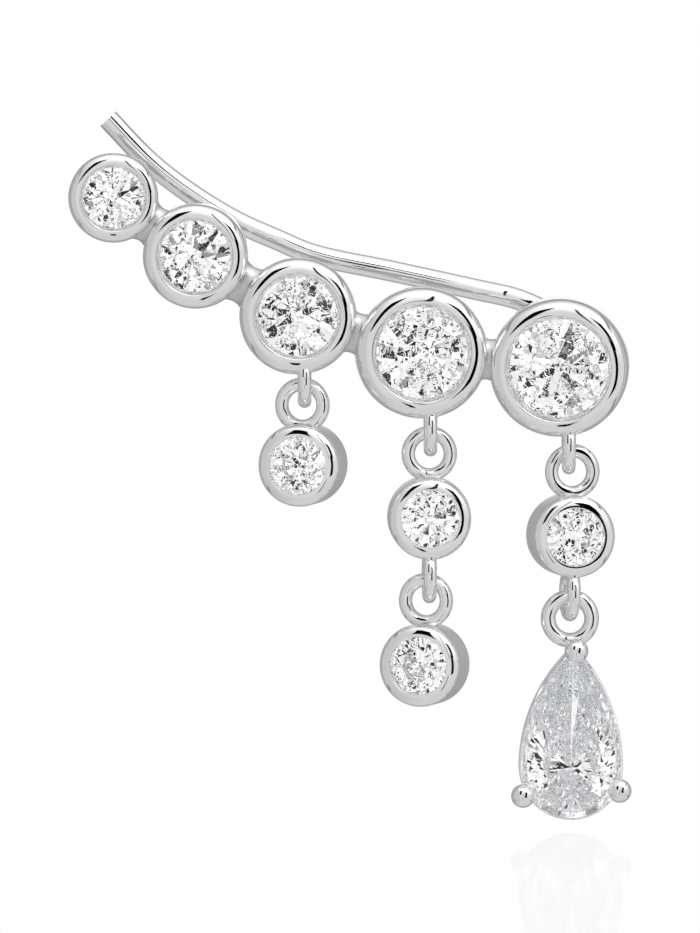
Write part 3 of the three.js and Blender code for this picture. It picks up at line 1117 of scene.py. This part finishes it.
def pear_wall():
    clear_selection()
    bpy.ops.mesh.primitive_circle_add(vertices=PEAR_SIDES, radius=PEAR_HALF)
    piece = bpy.context.object
    outer = {"half": PEAR_HALF + WALL_OVER, "tip": PEAR_TIP + WALL_OVER}
    inner = {"half": outer["half"] - WALL_THICK, "tip": outer["tip"] - WALL_TIP_THICK}
    section = [
        {**outer, "depth": WALL_BACK - WALL_EDGE, "grow": 0},
        {**outer, "depth": WALL_BACK, "grow": -WALL_EDGE},
        {**inner, "depth": WALL_BACK, "grow": WALL_EDGE},
        {**inner, "depth": WALL_BACK - WALL_EDGE, "grow": 0},
        {**inner, "depth": WALL_FRONT + WALL_EDGE, "grow": 0},
        {**inner, "depth": WALL_FRONT, "grow": WALL_EDGE},
        {**outer, "depth": WALL_FRONT, "grow": -WALL_EDGE},
        {**outer, "depth": WALL_FRONT + WALL_EDGE, "grow": 0},
    ]
    set_on_pear(piece, **section[0])
    edit_all(piece)
    for corner in section[1:] + section[:1]:
        bpy.ops.mesh.extrude_region_move()
        bpy.ops.object.mode_set(mode="OBJECT")
        set_on_pear(piece, **corner)
        bpy.ops.object.mode_set(mode="EDIT")
    close_and_turn_out()
    piece.data.materials.append(polished)
    piece.data.materials.append(brushed)
    brush_outside(piece)
    return piece


wall = pear_wall()
print("wall faces", len(wall.data.polygons))

# %% [markdown]
# A claw is a post that ends in a ball in front, over the stone's edge. The ball could be a sphere set on
# a rod, but turned in one go it runs into the post over a flared neck, as a melted claw tip does.

# %% A claw
CLAW_RADIUS = 0.44
CLAW_FRONT = -1.3
CLAW_SIDES = 32
# The ball's section, in degrees from its widest place, and then the post's radius and depth: a flared
# neck, the straight post and a tapered foot.
BALL_START = -86
BALL_END = 35
BALL_STEPS = 14
CLAW_POST = [(0.36, -0.53), (0.3, -0.2), (0.3, 0.85), (0.2, 0.98), (0.02, 1.0)]


def claw_shape():
    middle = (0, CLAW_FRONT + CLAW_RADIUS)
    ball = arc(middle, (CLAW_RADIUS, CLAW_RADIUS), BALL_START, BALL_END, BALL_STEPS)
    piece = turned("claw_pattern", ball + CLAW_POST, CLAW_SIDES, closes=False)
    piece.data.materials.append(polished)
    return piece


claw_pattern = claw_shape()
print("claw faces", len(claw_pattern.data.polygons))

# %% [markdown]
# The claw is turned once and copied to its three places. Wall, claws and a ring of heavier wire are
# joined, and the whole setting hangs on the main drop's lower ring, leaning a little.

# %% The whole setting
CLAWS = {
    "tip": {"x": 0.09, "z": 4.36},
    "left": {"x": -1.76, "z": -1.02},
    "right": {"x": 1.79, "z": -0.76},
}
PEAR_RING = {"radius": 0.8, "wire": 0.55}
PEAR_ASIDE = 0.16
PEAR_BELOW = 5.5
PEAR_LEAN = 1.2


def pear_setting():
    parts = [wall]
    for name, spot in CLAWS.items():
        claw = copy_of(claw_pattern, f"claw_{name}")
        move(claw, Matrix.Translation((spot["x"], 0, spot["z"])))
        parts.append(claw)
    bpy.data.objects.remove(claw_pattern)
    ring = torus("pear_ring", **PEAR_RING)
    stand(ring, edge_on=False)
    move(ring, Matrix.Translation((-PEAR_ASIDE, 0, PEAR_BELOW)))
    piece = joined("pear_wall_and_claws", [*parts, ring])
    place = Matrix.Translation(pear_hook + Vector((0, 0, -RING_HANG)))
    place = place @ Matrix.Rotation(math.radians(PEAR_LEAN), 4, "Y")
    move(piece, place @ Matrix.Translation((PEAR_ASIDE, 0, -PEAR_BELOW)))
    finish_piece(piece, "pear_drop", "pear_setting")


pear_setting()

# %% [markdown]
# ## The studio
#
# Bright silver is shown in a white tent: it looks white because all round it is white, and it gets its
# drawing from a few black cards. The tent could be built of sheets and lamps, but as a world of nodes it
# has no seams and takes no room. The metal sees it bright above and grey behind. The grey draws the thin
# outlines, and a small bright patch right behind takes the last sliver of each edge back to white.

# %% The zones of the tent
# Each zone: the direction of its middle, where it starts and where it is full (both as cosines), and how
# many times as bright as the plain tent it is.
ZONES = {
    "above": {"middle": (0.35, -0.25, 0.9), "start": 0.4, "full": 0.85, "times": 1.5},
    "left": {"middle": (-1.0, -0.1, -0.1), "start": 0.4, "full": 0.85, "times": 0.82},
    "below": {"middle": (0.0, -0.1, -1.0), "start": 0.3, "full": 0.8, "times": 0.92},
    "behind": {"middle": (0.0, 1.0, 0.0), "start": 0.1, "full": 0.75, "times": 0.6},
    "far behind": {"middle": (0.0, 1.0, 0.12), "start": 0.98, "full": 0.99, "times": 2.32},
}
TENT_LIGHT = 0.72

world = bpy.data.worlds.new("white_tent")
bpy.context.scene.world = world
world.use_nodes = True
tent, tent_links = world.node_tree.nodes, world.node_tree.links
tent.clear()
directions = tent.new("ShaderNodeTexCoord").outputs["Generated"]
print("zones in the tent:", list(ZONES))

# %% [markdown]
# A zone's factor comes from the angle between the ray and the zone's middle: the dot product of the two
# is 1 in the middle and falls off all round. The factors of all zones are multiplied together.

# %% What the metal sees


def zone_factor(name, zone):
    toward = tent.new("ShaderNodeVectorMath")
    toward.operation = "DOT_PRODUCT"
    toward.inputs[1].default_value = Vector(zone["middle"]).normalized()
    tent_links.new(directions, toward.inputs[0])
    factor = tent.new("ShaderNodeMapRange")
    factor.label = name
    factor.interpolation_type = "SMOOTHSTEP"
    factor.inputs["From Min"].default_value = zone["start"]
    factor.inputs["From Max"].default_value = zone["full"]
    factor.inputs["To Min"].default_value = 1.0
    factor.inputs["To Max"].default_value = zone["times"]
    tent_links.new(toward.outputs["Value"], factor.inputs["Value"])
    return factor.outputs["Result"]


def tent_light():
    plain = tent.new("ShaderNodeValue")
    plain.outputs["Value"].default_value = TENT_LIGHT
    light = plain.outputs["Value"]
    for name, zone in ZONES.items():
        both = tent.new("ShaderNodeMath")
        both.operation = "MULTIPLY"
        tent_links.new(light, both.inputs[0])
        tent_links.new(zone_factor(name, zone), both.inputs[1])
        light = both.outputs["Value"]
    return light


metal_sees = tent_light()
print("nodes in the tent:", len(tent))

# %% [markdown]
# A cut stone works like a bundle of small periscopes: each of its many facet images looks out in one
# direction, and shows bright if there is a lamp there and dark if there is the viewer's head or the
# room. An even white tent would leave the stones blank. So a ray that has gone through a stone sees a
# room of cells instead, each in one of five tones, from black to a little over white.

# %% What the stones see
ROOM_CELLS = 22.0
ROOM_SHIFT = (0.37, 0.11, 0.23)
# Where each tone starts on the ramp, and the tone. New steps of a ramp get these places afterwards.
ROOM_TONES = [(0.0, 0.0), (0.15, 0.3), (0.23, 0.6), (0.38, 0.88), (0.64, 1.15)]


def cell_room():
    shift = tent.new("ShaderNodeMapping")
    shift.inputs["Location"].default_value = ROOM_SHIFT
    cells = tent.new("ShaderNodeTexVoronoi")
    cells.inputs["Scale"].default_value = ROOM_CELLS
    lot = tent.new("ShaderNodeSeparateColor")
    tones = tent.new("ShaderNodeValToRGB")
    tones.color_ramp.interpolation = "CONSTANT"
    steps = tones.color_ramp.elements
    while len(steps) < len(ROOM_TONES):
        steps.new(0.5)
    for step, (start, tone) in zip(steps, ROOM_TONES):
        step.position = start
        step.color = (tone, tone, tone, 1)
    tent_links.new(directions, shift.inputs["Vector"])
    tent_links.new(shift.outputs["Vector"], cells.inputs["Vector"])
    tent_links.new(cells.outputs["Color"], lot.inputs["Color"])
    tent_links.new(lot.outputs["Red"], tones.inputs["Fac"])
    return tones.outputs["Color"]


stones_see = cell_room()
print("tones in the room:", [tone for _, tone in ROOM_TONES])

# %% [markdown]
# The Light Path node tells what kind of ray asks. Two switches in a row choose: first the room of cells
# for rays out of a stone, and last plain white for the camera, which sees the background itself.

# %% Which ray sees what
rays = tent.new("ShaderNodeLightPath")


def switch(kind, usual):
    """Rays of this kind see the switch's B input, and all others what is usual."""
    pick = tent.new("ShaderNodeMix")
    pick.data_type = "FLOAT"
    tent_links.new(rays.outputs[kind], pick.inputs["Factor"])
    tent_links.new(usual, pick.inputs["A"])
    return pick


out_of_stone = switch("Is Transmission Ray", metal_sees)
tent_links.new(stones_see, out_of_stone.inputs["B"])
to_camera = switch("Is Camera Ray", out_of_stone.outputs["Result"])
to_camera.inputs["B"].default_value = 1.0
background = tent.new("ShaderNodeBackground")
background.inputs["Color"].default_value = (1, 1, 1, 1)
tent_links.new(to_camera.outputs["Result"], background.inputs["Strength"])
world_output = tent.new("ShaderNodeOutputWorld")
tent_links.new(background.outputs["Background"], world_output.inputs["Surface"])
print("nodes in the world:", len(tent))

# %% [markdown]
# The cards are plain boards round the earring, black or grey. They show in reflections only: neither the
# camera nor a ray that has gone through a stone sees them. A board has no gloss of its own, and a grey
# one glows evenly instead of waiting for light, so it is equally grey from every side.

# %% The boards' materials
GREY_GLOW = 0.3


def board_material(name, glow):
    material, shader = new_material(name)
    shader.inputs["Base Color"].default_value = (0.0, 0.0, 0.0, 1)
    shader.inputs["Specular IOR Level"].default_value = 0.0
    shader.inputs["Emission Color"].default_value = (1.0, 1.0, 1.0, 1)
    shader.inputs["Emission Strength"].default_value = glow
    return material


black_board = board_material("black_board", 0.0)
grey_board = board_material("grey_board", GREY_GLOW)
print("boards:", black_board.name, grey_board.name)

# %% [markdown]
# What counts for a reflection is where a board stands in the earring's sky, and not how far away it is.
# So a board is placed by two angles, how far across and how far up from straight ahead, and its size is
# given as angles too. All boards stand at the same distance and face the earring.

# %% A board
CARD_DISTANCE = 0.2
object_middle = (cad_box[0] + cad_box[1]) / 2


def span(angle):
    """The length at the cards' distance that fills this angle."""
    return 2 * CARD_DISTANCE * math.tan(math.radians(angle / 2))


def card(name, paint, across, up, width, height, roll=0):
    """A board seen from the earring, with all its places and sizes in degrees."""
    side, rise = math.radians(across), math.radians(up)
    way = Vector(
        (math.sin(side) * math.cos(rise), -math.cos(side) * math.cos(rise), math.sin(rise))
    )
    clear_selection()
    bpy.ops.mesh.primitive_plane_add(size=1)
    board = bpy.context.object
    board.name = name
    right = Vector((0, 0, 1)).cross(way).normalized()
    turn = Matrix((right, way.cross(right), way)).transposed().to_4x4()
    rolled = turn @ Matrix.Rotation(math.radians(roll), 4, "Z")
    place = Matrix.Translation(object_middle + way * CARD_DISTANCE)
    move(board, place @ rolled @ Matrix.Diagonal((span(width), span(height), 1, 1)))
    board.data.materials.append(paint)
    board.visible_camera = False
    board.visible_shadow = False
    board.visible_diffuse = False
    board.visible_transmission = False


print("a board of 20 degrees is", round(span(20), 3), "wide")

# %% [markdown]
# The black cards in front draw the marks on the rims: the arc on the upper left, the tick at one
# o'clock, the arcs on the right with the line along the wire, and the dot at six.

# %% Black cards in front
BLACK_CARDS = {
    "card_left": {"across": -24, "up": 33, "width": 20, "height": 36},
    "card_slit": {"across": 12, "up": 30, "width": 2.8, "height": 56, "roll": -16.5},
    "card_right": {"across": 29, "up": -3, "width": 22, "height": 28},
    "card_upper_right": {"across": 36, "up": 23, "width": 20, "height": 26},
    "card_low": {"across": 0, "up": -23, "width": 4.5, "height": 18},
}
for name, spot in BLACK_CARDS.items():
    card(name, black_board, **spot)
print("black cards:", len(BLACK_CARDS))

# %% [markdown]
# Grey boards at the sides and behind give the backs and the drums' walls something to reflect: upright
# ones in turn with the white between them, and two rows of level ones, high and low.

# %% Grey boards at the sides and behind
GREY_BOARDS = {
    "upright": {"at": (104, 138, 164, 196, 222, 256), "up": 0, "width": 7, "height": 60},
    "high": {"at": (114, 180, 246), "up": 38, "width": 50, "height": 7},
    "low": {"at": (114, 180, 246), "up": -34, "width": 50, "height": 7},
}
for kind, row in GREY_BOARDS.items():
    for across in row["at"]:
        card(f"board_{kind}_{across}", grey_board, across, row["up"], row["width"], row["height"])
print("grey boards:", sum(len(row["at"]) for row in GREY_BOARDS.values()))

# %% [markdown]
# The floor is a light table: a sheet of white acrylic just under the pear, lit from below. So there is
# no shadow on it, and its thin gloss shows only a faint image of what hangs above, which blurs with
# height. The material is a white glow with a little of a glossy shader mixed in, more at a flat angle.

# %% The floor's material
FLOOR_GLOSS = 0.3
FLOOR_INDEX = 1.1
FLOOR_ROUGHNESS = 0.06


def light_table_material():
    material = bpy.data.materials.new("white_acrylic")
    material.use_nodes = True
    nodes, links = material.node_tree.nodes, material.node_tree.links
    nodes.clear()
    glow = nodes.new("ShaderNodeEmission")
    gloss = nodes.new("ShaderNodeBsdfAnisotropic")
    gloss.inputs["Roughness"].default_value = FLOOR_ROUGHNESS
    gloss.inputs["Color"].default_value = (1, 1, 1, 1)
    grazing = nodes.new("ShaderNodeFresnel")
    grazing.inputs["IOR"].default_value = FLOOR_INDEX
    thin = nodes.new("ShaderNodeMath")
    thin.operation = "MULTIPLY"
    thin.inputs[1].default_value = FLOOR_GLOSS
    mix = nodes.new("ShaderNodeMixShader")
    output = nodes.new("ShaderNodeOutputMaterial")
    links.new(grazing.outputs["Fac"], thin.inputs[0])
    links.new(thin.outputs["Value"], mix.inputs["Fac"])
    links.new(glow.outputs["Emission"], mix.inputs[1])
    links.new(gloss.outputs["BSDF"], mix.inputs[2])
    links.new(mix.outputs["Shader"], output.inputs["Surface"])
    return material


white_acrylic = light_table_material()
print("floor:", white_acrylic.name)

# %% [markdown]
# The sheet itself is a plane, large enough to fill the view. The metal and the stones don't see it: to
# them the white tent goes on below.

# %% The floor
FLOOR_UNDER = 0.3
FLOOR_SIZE = 2.0


def floor():
    clear_selection()
    level = cad_box[0].z - FLOOR_UNDER * MM
    bpy.ops.mesh.primitive_plane_add(size=FLOOR_SIZE, location=(0, 0, level))
    sheet = bpy.context.object
    sheet.name = "white_floor"
    bpy.ops.object.transform_apply(location=True)
    sheet.data.materials.append(white_acrylic)
    sheet.visible_glossy = False
    sheet.visible_diffuse = False
    sheet.visible_transmission = False
    print("floor at", level)


floor()

# %% [markdown]
# The tent lights everything evenly. One weak softbox on the upper right adds a soft highlight there. It
# is an area light, because a small lamp would leave a hard white dot on every rim.

# %% A softbox
SOFTBOX_SIZE = 0.25
SOFTBOX_DISTANCE = 0.4
SOFTBOX_WAY = (0.5, -0.45, 0.75)
SOFTBOX_WATTS = 0.2


def softbox(name):
    light = bpy.data.lights.new(name, "AREA")
    light.shape = "SQUARE"
    light.size = SOFTBOX_SIZE
    light.energy = SOFTBOX_WATTS
    lamp = bpy.data.objects.new(name, light)
    bpy.context.scene.collection.objects.link(lamp)
    way = Vector(SOFTBOX_WAY).normalized()
    lamp.location = object_middle + way * SOFTBOX_DISTANCE
    lamp.rotation_mode = "QUATERNION"
    lamp.rotation_quaternion = way.to_track_quat("Z", "Y")
    lamp.visible_camera = False
    print(name, "at", [round(v, 3) for v in lamp.location])


softbox("softbox_upper_right")

# %% [markdown]
# ## The camera
#
# A long lens from a good third of a metre, so that the wire behind the row is hardly smaller than the
# cups in front. It looks straight at the stones and a little down.

# %% The camera
CAMERA_DISTANCE = 0.36
CAMERA_ELEVATION = 3.0
CAMERA_NEAREST = 0.01
VIEW_HEIGHT = 0.0345
SENSOR = 36.0

camera = bpy.data.cameras.new("camera")
camera.sensor_width = SENSOR
camera.lens = SENSOR * CAMERA_DISTANCE / VIEW_HEIGHT
camera.clip_start = CAMERA_NEAREST
camera_object = bpy.data.objects.new("camera", camera)
bpy.context.scene.collection.objects.link(camera_object)
elevation = math.radians(CAMERA_ELEVATION)
back = Vector((0, -math.cos(elevation), math.sin(elevation)))
camera_object.location = object_middle + back * CAMERA_DISTANCE
camera_object.rotation_mode = "QUATERNION"
camera_object.rotation_quaternion = (-back).to_track_quat("-Z", "Y")
bpy.context.scene.camera = camera_object
print("lens", round(camera.lens, 1))

# %% [markdown]
# White has to stay white, so the colours aren't bent by a film curve. In a stone, light is thrown back
# and forth between the facets many times before it comes out, so it is followed for long: with the usual
# few bounces the stones would turn dark.

# %% Colour and light paths
MOST_BOUNCES = 40
MIRROR_BOUNCES = 32

bpy.context.scene.view_settings.view_transform = "Standard"
cycles = bpy.context.scene.cycles
cycles.max_bounces = MOST_BOUNCES
cycles.glossy_bounces = MIRROR_BOUNCES
cycles.transmission_bounces = MIRROR_BOUNCES
print("bounces:", cycles.max_bounces, cycles.glossy_bounces, cycles.transmission_bounces)
